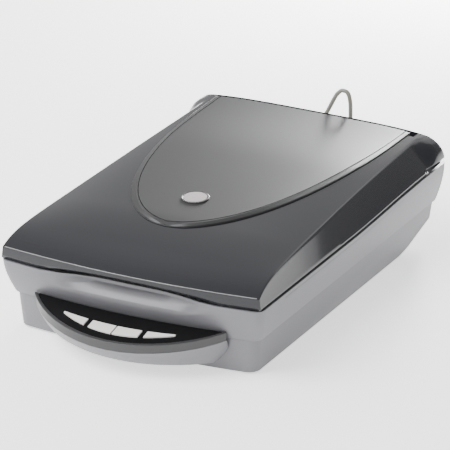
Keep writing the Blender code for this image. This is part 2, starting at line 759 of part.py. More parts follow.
def pulley(name, y, finish, top=24.9):
    profile = [(0.0, top), (8.6, top), (8.6, 24.3), (PULLEY_RADIUS, 24.2), (PULLEY_RADIUS, 17.8)]
    profile += [(8.6, 17.7), (8.6, 17.1), (0.0, 17.1)]
    return turned(name, (PULLEY_X, y, 0.0), profile, finish)


def make_drive():
    """Motor, pinion, gear with its pulley, toothed belt, idler and the guide rod."""
    motor_x = PULLEY_X - GEAR_MODULE * (GEAR_TEETH + PINION_TEETH) / 2
    teeth = gear_outline(GEAR_TEETH, (0, 0), math.pi / GEAR_TEETH)
    gear = prism("drive_gear", teeth, 25.2, 28.6, WHITE_PLASTIC)
    gear.location = (PULLEY_X * MM, DRIVE_Y * MM, 0.0)
    drum = pulley("gear_drum", DRIVE_Y, WHITE_PLASTIC, 26.0)
    PARTS.objects.unlink(drum)
    join(gear, drum)
    pinion = prism("motor_pinion", gear_outline(PINION_TEETH, (0, 0), 0.0), 24.8, 30.7, STEEL)
    pinion.location = (motor_x * MM, DRIVE_Y * MM, 0.0)
    motor_low = (motor_x - 17.0, DRIVE_Y - 16.0, 31.0)
    box("stepper_motor", motor_low, (motor_x + 17.0, DRIVE_Y + 18.0, 48.6), STEEL, 2.0)
    pulley("idler_pulley", IDLER_Y, WHITE_PLASTIC)
    outer = stadium(PULLEY_X, IDLER_Y, DRIVE_Y, PULLEY_RADIUS + 1.3)
    inner = stadium(PULLEY_X, IDLER_Y, DRIVE_Y, PULLEY_RADIUS + 0.3)
    belt = [at_height(outer, 18.2), at_height(outer, 23.8), at_height(inner, 23.8), at_height(inner, 18.2)]
    loft("drive_belt", belt, RUBBER, closed=True)
    box("idler_bracket", (28.0, IDLER_Y - 9.0, 13.0), (52.0, IDLER_Y + 12.0, 16.8), STEEL)
    cylinder("guide_rod", (0.0, -22.0, 21.0), 4.0, 352.0, "Y", STEEL, 24)
    for name, y in (("rod_clip_front", -196.0), ("rod_clip_rear", 157.0)):
        clip = box(name, (-8.0, y - 4.0, 12.6), (8.0, y + 4.0, 28.0), BLACK_PLASTIC)
        cut(clip, cylinder(name + "_bore", (0.0, y, 21.0), 4.3, 30.0, "Y", sides=24))
    box("slide_rail", (102.0, -192.0, 12.6), (108.0, 156.0, 25.6), BLACK_PLASTIC)


def make_spring():
    """The spring that keeps the belt tight, between the idler bracket and the tray."""
    turns, points_per_turn, radius, length = 6, 10, 2.2, 17.0
    count = turns * points_per_turn
    curve = bpy.data.curves.new("tension_spring", "CURVE")
    curve.dimensions = "3D"
    curve.bevel_depth = 0.4 * MM
    curve.bevel_resolution = 1
    curve.use_fill_caps = True
    line = curve.splines.new("POLY")
    line.points.add(count)
    for i in range(count + 1):
        angle = 2.0 * math.pi * i / points_per_turn
        across = 66.0 + radius * math.cos(angle)
        along = IDLER_Y - 4.0 + length * i / count
        height = 15.0 + radius * math.sin(angle)
        line.points[i].co = (across * MM, along * MM, height * MM, 1.0)
    link_part(bpy.data.objects.new("tension_spring", curve), STEEL)


def make_electronics():
    """Main board, sockets and the ribbon that feeds the carriage."""
    box("main_board", (-124.0, 162.0, 23.6), (-12.0, 196.0, 25.2), BOARD)
    power = box("power_socket", (-65.6, 192.0, 25.6), (-54.4, 204.6, 34.2), BLACK_PLASTIC)
    cut(power, cylinder("power_bore", (-60.0, 204.0, 30.0), 2.9, 16.0, "Y"))
    join(power, cylinder("power_pin", (-60.0, 198.0, 30.0), 0.9, 11.0, "Y", sides=12))
    usb = box("usb_socket", (-94.6, 190.0, 25.6), (-81.4, 204.6, 34.2), STEEL)
    cut(usb, box("usb_mouth", (-93.6, 194.0, 26.6), (-82.4, 210.0, 33.2)))
    join(usb, box("usb_tongue", (-91.5, 193.0, 31.4), (-84.5, 202.0, 33.7)))
    socket = box("lamp_socket", (21.0, 192.0, 49.4), (35.0, 207.4, 60.6), BLACK_PLASTIC)
    cut(socket, box("lamp_socket_mouth", (23.0, 197.0, 51.0), (33.0, 212.0, 59.0)))
    under = [(150.0, 11.4), (133.0, 6.0), (60.0, 6.0), (56.0, 10.0), (56.0, 16.0), (60.0, 20.0)]
    over = [(60.3, 19.4), (56.6, 15.8), (56.6, 10.3), (60.3, 6.6), (132.8, 6.6), (150.0, 12.0)]
    profile = under + [(110.0, 20.0), (110.0, 19.4)] + over
    ribbon = [[(x, y, z) for y, z in profile] for x in (-72.0, -48.0)]
    loft("ribbon_cable", ribbon, WHITE_PLASTIC)


def smooth_route(route, spacing):
    """Points along a Catmull-Rom curve through the route, evenly spread."""
    fine = []
    padded = [route[0]] + route + [route[-1]]
    for a, b, c, d in zip(padded, padded[1:], padded[2:], padded[3:]):
        for step in range(12):
            t = step / 12.0
            point = []
            for p0, p1, p2, p3 in zip(a, b, c, d):
                slope = 0.5 * (p2 - p0)
                bend = p0 - 2.5 * p1 + 2.0 * p2 - 0.5 * p3
                twist = 1.5 * (p1 - p2) + 0.5 * (p3 - p0)
                point.append(p1 + slope * t + bend * t * t + twist * t * t * t)
            fine.append(Vector(point))
    fine.append(Vector(route[-1]))
    chosen = [fine[0]]
    for point in fine[1:-1]:
        if (point - chosen[-1]).length >= spacing:
            chosen.append(point)
    if (fine[-1] - chosen[-1]).length < 0.5 * spacing:
        chosen.pop()
    chosen.append(fine[-1])
    return chosen


def make_lid_lead():
    """The lead from the film lamp in the lid down to its socket in the case."""
    cylinder("cable_gland", (0.0, 205.0, 98.0), 4.0, 9.0, "Y", BLACK_PLASTIC, 20)
    cut(bpy.data.objects["lid_shell"], cylinder("gland_hole", (0.0, 200.0, 98.0), 4.4, 30.0, "Y", sides=20))
    curve = bpy.data.curves.new("lid_cable", "CURVE")
    curve.dimensions = "3D"
    curve.bevel_depth = CABLE_DIAMETER / 2 * MM
    curve.bevel_resolution = 2
    curve.use_fill_caps = True
    points = smooth_route(CABLE_ROUTE, 5.0)
    line = curve.splines.new("POLY")
    line.points.add(len(points) - 1)
    for spot, point in zip(line.points, points):
        spot.co = (*(point * MM), 1.0)
    link_part(bpy.data.objects.new("lid_cable", curve), GREY_CORD)
    plug = box("cable_plug", (22.0, 210.6, 48.0), (34.0, 224.0, 62.0), BLACK_PLASTIC, 1.5)
    join(plug, box("plug_nose", (23.6, 199.0, 51.6), (32.4, 212.0, 58.4)))
    join(plug, cylinder("plug_relief", (28.0, 218.0, 64.5), 3.4, 7.0, "Z", sides=16))


make_upper_case()
make_lower_case()
make_case_fittings()
make_panel()
make_buttons()
make_chin()
make_lid()
make_lid_trim()
make_lid_lining()
make_hinges()
make_carriage()
make_drive()
make_spring()
make_electronics()
make_lid_lead()
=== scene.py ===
"""Flatbed scanner: the visible pieces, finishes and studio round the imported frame.

Lengths are in millimetres about the middle of the case, with the front towards -y, and place()
turns them into the frame's metres. Only the floor and the lamps are given in metres.
"""

import json
import math

import bmesh
import bpy
from mathutils import Matrix, Vector


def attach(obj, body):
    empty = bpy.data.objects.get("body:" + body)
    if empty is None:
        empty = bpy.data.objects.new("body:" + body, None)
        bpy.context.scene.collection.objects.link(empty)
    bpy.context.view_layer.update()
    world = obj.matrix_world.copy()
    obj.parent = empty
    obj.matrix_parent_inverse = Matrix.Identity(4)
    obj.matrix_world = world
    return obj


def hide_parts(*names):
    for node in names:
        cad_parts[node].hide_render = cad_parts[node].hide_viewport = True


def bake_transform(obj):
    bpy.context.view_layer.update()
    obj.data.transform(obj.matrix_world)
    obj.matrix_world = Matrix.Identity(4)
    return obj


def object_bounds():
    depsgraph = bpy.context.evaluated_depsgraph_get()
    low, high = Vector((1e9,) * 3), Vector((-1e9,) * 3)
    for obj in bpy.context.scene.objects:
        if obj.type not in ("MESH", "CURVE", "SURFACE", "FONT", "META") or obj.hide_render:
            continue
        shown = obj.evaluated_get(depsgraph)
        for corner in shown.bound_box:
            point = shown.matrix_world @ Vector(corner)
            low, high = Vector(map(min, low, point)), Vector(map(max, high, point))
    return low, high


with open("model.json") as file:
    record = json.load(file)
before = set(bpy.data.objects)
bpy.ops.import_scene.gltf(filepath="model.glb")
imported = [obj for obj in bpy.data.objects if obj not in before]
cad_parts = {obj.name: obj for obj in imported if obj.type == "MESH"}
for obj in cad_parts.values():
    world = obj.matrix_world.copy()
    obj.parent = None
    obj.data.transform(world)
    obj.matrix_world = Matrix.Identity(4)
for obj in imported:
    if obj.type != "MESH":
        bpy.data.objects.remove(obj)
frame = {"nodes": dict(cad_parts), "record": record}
CAD_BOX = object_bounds()

MM = 0.001
SHIFT_Y = 19.0
CASE_DEPTH = 420.0
CASE_WIDTH = 291.0

# Camera: turn and tilt round the case, its distance, and the sideways and upward shift of its aim.
CAMERA_AZIMUTH = 27.6263
CAMERA_ELEVATION = 23.2622
CAMERA_DISTANCE = 5583.33
CAMERA_LENS = 440.0
CAMERA_ROLL = -0.2342
CAMERA_RIGHT = -3.18
CAMERA_UP = 52.71
CAMERA_AIM_Z = 2.0

BODY_OF = {}
for body, names in frame["record"]["behaviour"]["bodies"].items():
    for name in names:
        BODY_OF[name] = body
SLOT_OF = {entry["node"]: entry["material_slot"] for entry in frame["record"]["subparts"]}


def place(x, y, z):
    """A point given in millimetres about the middle of the case, in metres here."""
    return Vector((x * MM, (y + SHIFT_Y) * MM, z * MM))


def make_camera():
    """The camera that was solved from the photo."""
    azimuth = math.radians(CAMERA_AZIMUTH)
    elevation = math.radians(CAMERA_ELEVATION)
    roll = math.radians(CAMERA_ROLL)
    flat = math.cos(elevation)
    back = Vector((math.sin(azimuth) * flat, -math.cos(azimuth) * flat, math.sin(elevation)))
    right = Vector((math.cos(azimuth), math.sin(azimuth), 0.0))
    up = back.cross(right)
    turned_right = right * math.cos(roll) + up * math.sin(roll)
    turned_up = up * math.cos(roll) - right * math.sin(roll)
    data = bpy.data.cameras.new("camera")
    data.lens = CAMERA_LENS
    data.sensor_width = 36.0
    data.clip_end = 20.0
    camera = bpy.data.objects.new("camera", data)
    spot = back * CAMERA_DISTANCE + turned_right * CAMERA_RIGHT + turned_up * CAMERA_UP
    turn = Matrix((turned_right, turned_up, back)).transposed().to_4x4()
    camera.matrix_world = Matrix.Translation(place(spot.x, spot.y, spot.z + CAMERA_AIM_Z)) @ turn
    bpy.context.scene.collection.objects.link(camera)
    bpy.context.scene.camera = camera


# Materials: one function, with the wear, grain and bump that each finish has.


def finish(
    name,
    color,
    roughness,
    metallic=0.0,
    coat=0.0,
    grain=900.0,
    bump=0.04,
    mottle=0.06,
    second=None,
    gleam=0.5,
):
    """A finish whose colour drifts a little, with fine grain and uneven gloss."""
    made = bpy.data.materials.new(name)
    made.use_nodes = True
    nodes = made.node_tree.nodes
    links = made.node_tree.links
    shader = nodes["Principled BSDF"]
    shader.inputs["Metallic"].default_value = metallic
    shader.inputs["Coat Weight"].default_value = coat
    shader.inputs["Specular IOR Level"].default_value = gleam
    shader.inputs["Coat Roughness"].default_value = 0.06
    place_node = nodes.new("ShaderNodeTexCoord")
    broad = nodes.new("ShaderNodeTexNoise")
    broad.inputs["Scale"].default_value = 9.0
    broad.inputs["Detail"].default_value = 4.0
    links.new(place_node.outputs["Object"], broad.inputs["Vector"])
    tint = nodes.new("ShaderNodeMix")
    tint.data_type = "RGBA"
    other = second or tuple(c * (1.0 - mottle) for c in color)
    tint.inputs["A"].default_value = (*color, 1.0)
    tint.inputs["B"].default_value = (*other, 1.0)
    links.new(broad.outputs["Fac"], tint.inputs["Factor"])
    links.new(tint.outputs["Result"], shader.inputs["Base Color"])
    fine = nodes.new("ShaderNodeTexNoise")
    fine.inputs["Scale"].default_value = grain
    fine.inputs["Detail"].default_value = 3.0
    links.new(place_node.outputs["Object"], fine.inputs["Vector"])
    gloss = nodes.new("ShaderNodeMapRange")
    gloss.inputs["To Min"].default_value = roughness * 0.85
    gloss.inputs["To Max"].default_value = min(roughness * 1.2, 1.0)
    links.new(fine.outputs["Fac"], gloss.inputs["Value"])
    links.new(gloss.outputs["Result"], shader.inputs["Roughness"])
    relief = nodes.new("ShaderNodeBump")
    relief.inputs["Strength"].default_value = bump
    relief.inputs["Distance"].default_value = 0.0002
    links.new(fine.outputs["Fac"], relief.inputs["Height"])
    links.new(relief.outputs["Normal"], shader.inputs["Normal"])
    return made


def glass_finish(name, color, roughness, transmission):
    """A finish that lets light through."""
    made = finish(name, color, roughness, bump=0.0, mottle=0.02)
    shader = made.node_tree.nodes["Principled BSDF"]
    shader.inputs["Transmission Weight"].default_value = transmission
    return made


FINISH = {
    "silver_paint": finish(
        "silver_paint", (0.165, 0.165, 0.178), 0.42, metallic=0.2, grain=1600.0, bump=0.06, mottle=0.04
    ),
    "black_gloss": finish("black_gloss", (0.016, 0.0165, 0.02), 0.12, grain=500.0, bump=0.003, gleam=0.38),
    "panel_black": finish("panel_black", (0.006, 0.006, 0.0065), 0.3, grain=900.0, bump=0.01, gleam=0.1),
    "gunmetal_paint": finish(
        "gunmetal_paint", (0.07, 0.07, 0.072), 0.48, metallic=0.9, grain=2200.0, bump=0.03, mottle=0.05
    ),
    "dark_rim": finish("dark_rim", (0.035, 0.035, 0.037), 0.35, grain=1200.0, bump=0.05),
    "pearl_button": finish(
        "pearl_button", (0.88, 0.86, 0.83), 0.22, coat=0.5, grain=1200.0, bump=0.02, mottle=0.03
    ),
    "pink_badge": finish(
        "pink_badge", (0.72, 0.64, 0.66), 0.25, metallic=0.6, coat=0.3, grain=1500.0, bump=0.03, mottle=0.1
    ),
    "black_plastic": finish("black_plastic", (0.025, 0.025, 0.026), 0.5, bump=0.2),
    "white_plastic": finish("white_plastic", (0.78, 0.78, 0.77), 0.5, bump=0.1),
    "white_pad": finish("white_pad", (0.86, 0.86, 0.85), 0.8, grain=1400.0, bump=0.5),
    "clear_glass": glass_finish("clear_glass", (0.85, 0.93, 0.91), 0.02, 0.95),
    "lamp_tube": finish("lamp_tube", (0.9, 0.9, 0.87), 0.2, coat=0.6, bump=0.01),
    "mirror": finish("mirror", (0.85, 0.86, 0.87), 0.04, metallic=1.0, bump=0.0, mottle=0.02),
    "steel": finish("steel", (0.58, 0.58, 0.58), 0.3, metallic=1.0, grain=2500.0, bump=0.1),
    "rubber": finish("rubber", (0.035, 0.035, 0.035), 0.75, bump=0.3),
    "circuit_board": finish("circuit_board", (0.02, 0.16, 0.07), 0.4, bump=0.15, second=(0.03, 0.24, 0.1)),
    "grey_cord": finish("grey_cord", (0.27, 0.26, 0.22), 0.45, grain=700.0, bump=0.1),
    # Near-black finish of the painted shade in the groove round the tongue.
    "groove": finish("groove", (0.008, 0.008, 0.009), 0.5, bump=0.05),
    # Matte black without specular: the fine line on the tongue, and the painted shade sheet behind the
    # tongue.
    "edge_black": finish("edge_black", (0.008, 0.008, 0.009), 0.8, bump=0.02, gleam=0.0),
    # Grey glossy finish of the painted highlight along the lid's front edge.
    "painted_edge_highlight": finish("painted_edge_highlight", (0.2, 0.2, 0.2), 0.25, coat=0.5, bump=0.01),
    "badge_ring": finish("badge_ring", (0.07, 0.07, 0.072), 0.45, bump=0.01),
}


def add_piece(name, mesh, slot, replaced=(), body=None, smooth=35.0):
    """Adds a visible piece in its finish, riding the body of the part that it stands for."""
    obj = bpy.data.objects.new(name, mesh)
    bpy.context.scene.collection.objects.link(obj)
    mesh.materials.clear()
    mesh.materials.append(FINISH[slot])
    mesh.shade_smooth()
    mesh.set_sharp_from_angle(angle=math.radians(smooth))
    if replaced:
        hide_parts(*replaced)
    if body:
        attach(obj, body)
    return obj


FLAT_DEGREES = 0.6
ROUNDING_DEGREES = 38.0


def refine(node, width):
    """A finer stand-in for a part: its flat facets are merged and its edges rounded."""
    source = frame["nodes"][node]
    shape = bmesh.new()
    shape.from_mesh(source.data)
    bmesh.ops.remove_doubles(shape, verts=shape.verts, dist=2e-6)
    bmesh.ops.dissolve_limit(
        shape,
        angle_limit=math.radians(FLAT_DEGREES),
        verts=shape.verts,
        edges=shape.edges,
        delimit={"NORMAL"},
    )
    mesh = bpy.data.meshes.new(node + "_fine")
    shape.to_mesh(mesh)
    shape.free()
    obj = add_piece(node + "_fine", mesh, SLOT_OF[node], (node,), BODY_OF[node])
    if node == "panel_fascia":
        mesh.materials[0] = FINISH["panel_black"]
    rounding = obj.modifiers.new("rounding", "BEVEL")
    rounding.width = width * MM
    rounding.segments = 2
    rounding.limit_method = "ANGLE"
    rounding.angle_limit = math.radians(ROUNDING_DEGREES)
    rounding.harden_normals = True
    return obj


# The lid's lead: a loop traced from the photo, then a hidden run down into its plug. A short boot
# covers the lead's first points.

CABLE_DIAMETER = 4.4
CABLE_ROUTE = [
    (0.0, 210.4, 98.0),
    (0.3, 214.5, 98.8),
    (3.0, 218.8, 105.0),
    (8.0, 220.5, 116.0),
    (13.5, 221.0, 126.0),
    (20.5, 221.2, 131.0),
    (26.0, 221.4, 127.0),
    (28.0, 221.5, 118.0),
    (28.4, 221.5, 106.0),
    (28.4, 221.0, 92.0),
    (28.2, 219.5, 78.0),
    (28.0, 218.0, 68.5),
]
CABLE_HIDDEN = [(28.0, 218.0, 60.0), (28.0, 218.0, 50.0)]
CABLE_STEPS = 6
BOOT_RADIUS = 3.3
BOOT_POINTS = 5


def smooth_route(route, steps):
    """Points along a Catmull-Rom curve through the route."""
    fine = []
    padded = [route[0]] + route + [route[-1]]
    for a, b, c, d in zip(padded, padded[1:], padded[2:], padded[3:]):
        for step in range(steps):
            t = step / steps
            point = []
            for p0, p1, p2, p3 in zip(a, b, c, d):
                slope = 0.5 * (p2 - p0)
                bend = p0 - 2.5 * p1 + 2.0 * p2 - 0.5 * p3
                twist = 1.5 * (p1 - p2) + 0.5 * (p3 - p0)
                point.append(p1 + slope * t + bend * t * t + twist * t**3)
            fine.append(place(*point))
    fine.append(place(*route[-1]))
    return fine


def tube(name, points, radius, slot, sides=14):
    """A closed round tube through points."""
    shape = bmesh.new()
    rings = []
    side = Vector((1.0, 0.0, 0.0))
    for i, point in enumerate(points):
        ahead = points[min(i + 1, len(points) - 1)] - points[max(i - 1, 0)]
        ahead.normalize()
        side = (side - ahead * side.dot(ahead)).normalized()
        other = ahead.cross(side)
        ring = []
        for k in range(sides):
            angle = 2.0 * math.pi * k / sides
            ring.append(shape.verts.new(point + (side * math.cos(angle) + other * math.sin(angle)) * radius))
        rings.append(ring)
    for low, high in zip(rings, rings[1:]):
        for k in range(sides):
            shape.faces.new((low[k], low[(k + 1) % sides], high[(k + 1) % sides], high[k]))
    shape.faces.new(reversed(rings[0]))
    shape.faces.new(rings[-1])
    bmesh.ops.recalc_face_normals(shape, faces=shape.faces)
    mesh = bpy.data.meshes.new(name)
    shape.to_mesh(mesh)
    shape.free()
    return add_piece(name, mesh, slot, smooth=50.0)


def make_cable():
    """The lead, kept below the CAD's top, with its boot."""
    points = smooth_route(CABLE_ROUTE, CABLE_STEPS)
    points += [place(*point) for point in CABLE_HIDDEN]
    highest = CAD_BOX[1][2] - CABLE_DIAMETER / 2 * MM
    for point in points:
        point.z = min(point.z, highest)
    boot = tube("lead_boot", points[:BOOT_POINTS], BOOT_RADIUS * MM, "black_plastic")
    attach(boot, "lid")
    lead = tube("lid_lead", points, CABLE_DIAMETER / 2 * MM, "grey_cord")
    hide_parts("lid_cable")
    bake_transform(lead)


# The lid, as a fine surface. Two creases run from front to rear, a shoulder falls from each crease
# to the skirt, and the top is crowned between them.

LID_HALF_WIDTH = 144.0
LID_FRONT_Y = -208.0
LID_REAR_Y = 206.0
LID_REAR_EDGE_Z = 84.3
LID_WALL = 2.2
LID_FRONT_ROUND = 1.2
FRONT_BOW = 11.0
REAR_SLOPE = 0.16
CREASE_FRONT_X = 143.2
CREASE_TAPER = 23.7
CREASE_FRONT_Z = 87.0
CREASE_FRONT_RISE = 13.0
CREASE_ARCH = 7.5
CROWN = 6.0
RIM_FRONT_Z = 75.0
RIM_RISE = 4.5
SKIRT_GAP = 1.2
FRONT_ARCH_HEIGHT = 7.4
FRONT_ARCH_HALF_WIDTH = 102.0
CORNER_ROUNDNESS = 0.95

# Where the lid and the rim change along y, as (start, run) for ramp().
CROWN_RISES = (-215.0, 110.0)
CROWN_EASES = (60.0, 150.0)
RIM_CLIMBS = (-10.0, 170.0)
SKIRT_IS_CUT = (160.0, 6.0)
CORNER_ROUNDS = (168.0, 26.0)
REAR_LEANS = (150.0, 55.0)
BOW_FADE = 40.0

# Points across the lid: down each shoulder, round each crease and over the top.
SHOULDER_STEPS = 16
CREASE_SHARES = (0.993, 0.985, 0.975)
TOP_STEPS = 28

# Rows of the front face as (set back, share of its height), rows of the rear face as a share of its
# height, and the spacing of the rows between them, which is closer where the shape turns.
FRONT_FACE_ROWS = ((0.0, 0.0), (0.0, 0.3), (0.0, 0.6), (0.0, 0.9), (0.35, 0.97))
REAR_FACE_SHARES = (1.0, 0.97, 0.88, 0.7, 0.52, 0.4, 0.2, 0.0)
REAR_ROUND = 0.7
COARSE_STEP = 5.0
FINE_STEP = 2.0
FINE_BEFORE_Y = -196.0
FINE_FROM_Y = 155.0
FINE_TO_Y = 170.0

# Notches in the lid's rear face, round the hinge posts.
POST_X = 95.0
NOTCH_HALF_WIDTH = 10.5
NOTCH_TOP_Z = 98.4


def smooth_step(value):
    """Rises from 0 to 1 with level ends."""
    value = min(max(value, 0.0), 1.0)
    return value * value * (3.0 - 2.0 * value)


def ramp(y, start, run):
    """Rises from 0 to 1 between y = start and y = start + run."""
    return smooth_step((y - start) / run)


def bow(x):
    """How far forward the front face bulges at x."""
    return FRONT_BOW * (1.0 - (2.0 * x / CASE_WIDTH) ** 2)


def lid_share(y):
    """How far back y lies in the case, from 0 to 1."""
    return min(max((y + CASE_DEPTH / 2) / CASE_DEPTH, 0.0), 1.0)


def crease_x(y):
    return CREASE_FRONT_X - CREASE_TAPER * lid_share(y) ** 0.8


def crease_z(y):
    t = lid_share(y)
    front = CREASE_FRONT_RISE * (1.0 - math.exp(-t / 0.045))
    return CREASE_FRONT_Z + front + CREASE_ARCH * math.sin(math.pi * t / 2.0)


def lid_crown(y):
    return CROWN * ramp(y, *CROWN_RISES) * (1.0 - 0.5 * ramp(y, *CROWN_EASES))


def lid_top(x, y):
    """Height of the lid's outside between its creases."""
    share = min(abs(x) / crease_x(y), 1.0)
    return crease_z(y) + lid_crown(y) * (1.0 - share**4)


def rim_z(y):
    """Height of the case's rim, which climbs towards the rear."""
    return RIM_FRONT_Z + RIM_RISE * ramp(y, *RIM_CLIMBS)


def skirt_z(y):
    return rim_z(y) + SKIRT_GAP


def lid_edge_z(y):
    """Lower edge of the skirt, which is cut away behind the rear of the rim."""
    return skirt_z(y) + (LID_REAR_EDGE_Z - skirt_z(y)) * ramp(y, *SKIRT_IS_CUT)


def arch_height(x):
    """Rise of the front face's lower edge over the finger scoop."""
    return FRONT_ARCH_HEIGHT * (1.0 - min(abs(x) / FRONT_ARCH_HALF_WIDTH, 1.0) ** 2.2)


def shoulder_point(y, share):
    """A point down the right shoulder: straight at the front, rounded at the rear corner."""
    turn = ramp(y, *CORNER_ROUNDS)
    foot = skirt_z(y) + 2.5 + (LID_REAR_EDGE_Z - 1.5 - skirt_z(y)) * turn
    crease = crease_x(y)
    roundness = CORNER_ROUNDNESS * turn
    angle = share * math.pi / 2.0
    across = share + (math.sin(angle) - share) * roundness
    up = (1.0 - share) + (math.cos(angle) - (1.0 - share)) * roundness
    return (crease + (LID_HALF_WIDTH - crease) * across, foot + (crease_z(y) - foot) * up)


def shoulder_end(y):
    """How far down the shoulder the skirt's lower edge lies, as a share."""
    share = 1.0
    while share > 0.3 and shoulder_point(y, share)[1] < lid_edge_z(y) + 1.0:
        share -= 0.002
    return share


def lid_profile(y):
    """Points (x, z) across the lid, with a small round at each crease."""
    edge = lid_edge_z(y)
    end = shoulder_end(y)
    foot_x, foot_z = shoulder_point(y, end)
    side = [(foot_x, edge), (foot_x, 0.5 * (edge + foot_z))]
    side += [shoulder_point(y, end * (1.0 - i / SHOULDER_STEPS)) for i in range(SHOULDER_STEPS + 1)]
    crease = crease_x(y)
    for x_share in CREASE_SHARES:
        side.append((crease * x_share, lid_top(crease * x_share, y)))
    for i in range(1, TOP_STEPS):
        x = crease * CREASE_SHARES[-1] * (1.0 - i / TOP_STEPS)
        side.append((x, lid_top(x, y)))
    corner = SHOULDER_STEPS + 2
    eased = side[:]
    for i in range(corner - 1, corner + 2):
        a, b, c = side[i - 1], side[i], side[i + 1]
        eased[i] = tuple(0.25 * u + 0.5 * v + 0.25 * w for u, v, w in zip(a, b, c))
    side = eased
    left = [(-x, z) for x, z in side]
    return left + [(0.0, lid_top(0.0, y))] + side[::-1]


def grid_mesh(name, rows, skip=None, merge=1e-5):
    """A sheet through rows of points, without the faces that skip names."""
    shape = bmesh.new()
    grid = [[shape.verts.new(place(*point)) for point in row] for row in rows]
    for i, (low, high) in enumerate(zip(grid, grid[1:])):
        for j in range(len(low) - 1):
            corners = (low[j], low[j + 1], high[j + 1], high[j])
            middle = sum((v.co for v in corners), Vector()) / 4
            if skip and skip(i, middle / MM):
                continue
            shape.faces.new(corners)
    bmesh.ops.remove_doubles(shape, verts=shape.verts, dist=merge)
    bmesh.ops.dissolve_degenerate(shape, edges=shape.edges, dist=merge)
    bmesh.ops.recalc_face_normals(shape, faces=shape.faces)
    bmesh.ops.delete(shape, geom=[v for v in shape.verts if not v.link_faces], context="VERTS")
    mesh = bpy.data.meshes.new(name)
    shape.to_mesh(mesh)
    shape.free()
    return mesh


def make_lid():
    """The lid: its front face, its top and shoulders, and its leaning rear face."""
    rows = []
    front_profile = lid_profile(LID_FRONT_Y + LID_FRONT_ROUND)
    for back_set, share in FRONT_FACE_ROWS:
        row = []
        for x, z in front_profile:
            low = min(lid_edge_z(LID_FRONT_Y) + arch_height(x), z)
            row.append((x, LID_FRONT_Y + back_set - bow(x), low + (z - low) * share))
        rows.append(row)
    y = LID_FRONT_Y + LID_FRONT_ROUND
    while y < LID_REAR_Y - 1.0:
        forward = smooth_step((BOW_FADE - (y - LID_FRONT_Y)) / BOW_FADE)
        slope = REAR_SLOPE * ramp(y, *REAR_LEANS)
        edge = lid_edge_z(y)
        rows.append([(x, y - bow(x) * forward - slope * (z - edge), z) for x, z in lid_profile(y)])
        turning = y < FINE_BEFORE_Y or FINE_FROM_Y < y < FINE_TO_Y
        y += FINE_STEP if turning else COARSE_STEP
    body_rows = len(rows)
    rear_profile = lid_profile(LID_REAR_Y)
    edge = lid_edge_z(LID_REAR_Y)
    for share in REAR_FACE_SHARES:
        row = []
        for x, z in rear_profile:
            height = edge + (z - edge) * share
            back = REAR_SLOPE * (height - edge) + (REAR_ROUND if share == 1.0 else 0.0)
            row.append((x, LID_REAR_Y - back, height))
        rows.append(row)

    def notch(i, middle):
        return i >= body_rows and abs(abs(middle.x) - POST_X) < NOTCH_HALF_WIDTH and middle.z < NOTCH_TOP_Z

    mesh = grid_mesh("lid_skin", rows, notch, 3e-4)
    lid = add_piece("lid_skin", mesh, "black_gloss", ("lid_shell",), "lid", smooth=26.0)
    thick = lid.modifiers.new("thickness", "SOLIDIFY")
    thick.thickness = LID_WALL * MM
    thick.offset = -1.0


# A painted highlight along the lid's front edge, drawn as a thin grey tube.
HIGHLIGHT_LINE_HALF_WIDTH = 140.0
HIGHLIGHT_LINE_STEPS = 60
HIGHLIGHT_LINE_RADIUS = 0.45
THIN_SIDES = 8


def make_front_edge_highlight():
    """A painted highlight: a grey tube along the top of the lid's front face, standing for the light that
    its edge catches.
    """
    path = []
    for i in range(HIGHLIGHT_LINE_STEPS + 1):
        x = -HIGHLIGHT_LINE_HALF_WIDTH + 2.0 * HIGHLIGHT_LINE_HALF_WIDTH * i / HIGHLIGHT_LINE_STEPS
        path.append(place(x, LID_FRONT_Y + 0.55 - bow(x), lid_top(x, LID_FRONT_Y + LID_FRONT_ROUND) - 0.4))
    line = tube("lid_front_edge_highlight", path, HIGHLIGHT_LINE_RADIUS * MM, "painted_edge_highlight", THIN_SIDES)
    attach(line, "lid")


# The tongue: a raised panel on the lid, square at the rear and round at its nose.

TONGUE_REAR_Y = 196.0
TONGUE_LENGTH = 325.0
TONGUE_HALF_WIDTH = 112.0
TONGUE_MIDDLE_X = -3.0
TONGUE_RISE_FRONT = 3.0
TONGUE_RISE_REAR = 0.9
NOSE_Y = TONGUE_REAR_Y - TONGUE_LENGTH
NOSE_GAP = 0.02
BORDER = 5.5
LINE_INSET = BORDER * 0.9
FACE_FLATTENS = (40.0, 140.0)
TONGUE_ROWS = 70
FACE_STEPS = 32
GROOVE_SHADE_RADIUS = 0.8
INNER_LINE_RADIUS = 0.35
# Rows, width and lift of the painted shade sheet behind the tongue.
SHADE_BAND_ROWS_Y = (190.0, 196.5, 199.5, 201.2)
SHADE_BAND_HALF_WIDTH = 116
SHADE_BAND_UP = 0.18


def tongue_half(y):
    """Half of the tongue's width at y."""
    s = min(max((TONGUE_REAR_Y - y) / TONGUE_LENGTH, 0.0), 1.0)
    return TONGUE_HALF_WIDTH * math.sqrt(max(1.0 - s**2.42, 0.0))


def tongue_rise(y):
    """How far the tongue's face stands above the lid at y."""
    back = ramp(y, *FACE_FLATTENS)
    return TONGUE_RISE_FRONT + (TONGUE_RISE_REAR - TONGUE_RISE_FRONT) * back


def tongue_stations():
    """Places along the tongue, closer together at its nose."""
    span = TONGUE_REAR_Y - NOSE_Y - NOSE_GAP
    return [NOSE_Y + NOSE_GAP + span * (i / TONGUE_ROWS) ** 2 for i in range(TONGUE_ROWS + 1)]


def on_tongue(x, y, up):
    """A point at x from the tongue's middle line, this far above the lid."""
    x += TONGUE_MIDDLE_X
    return (x, y, lid_top(x, y) + up)


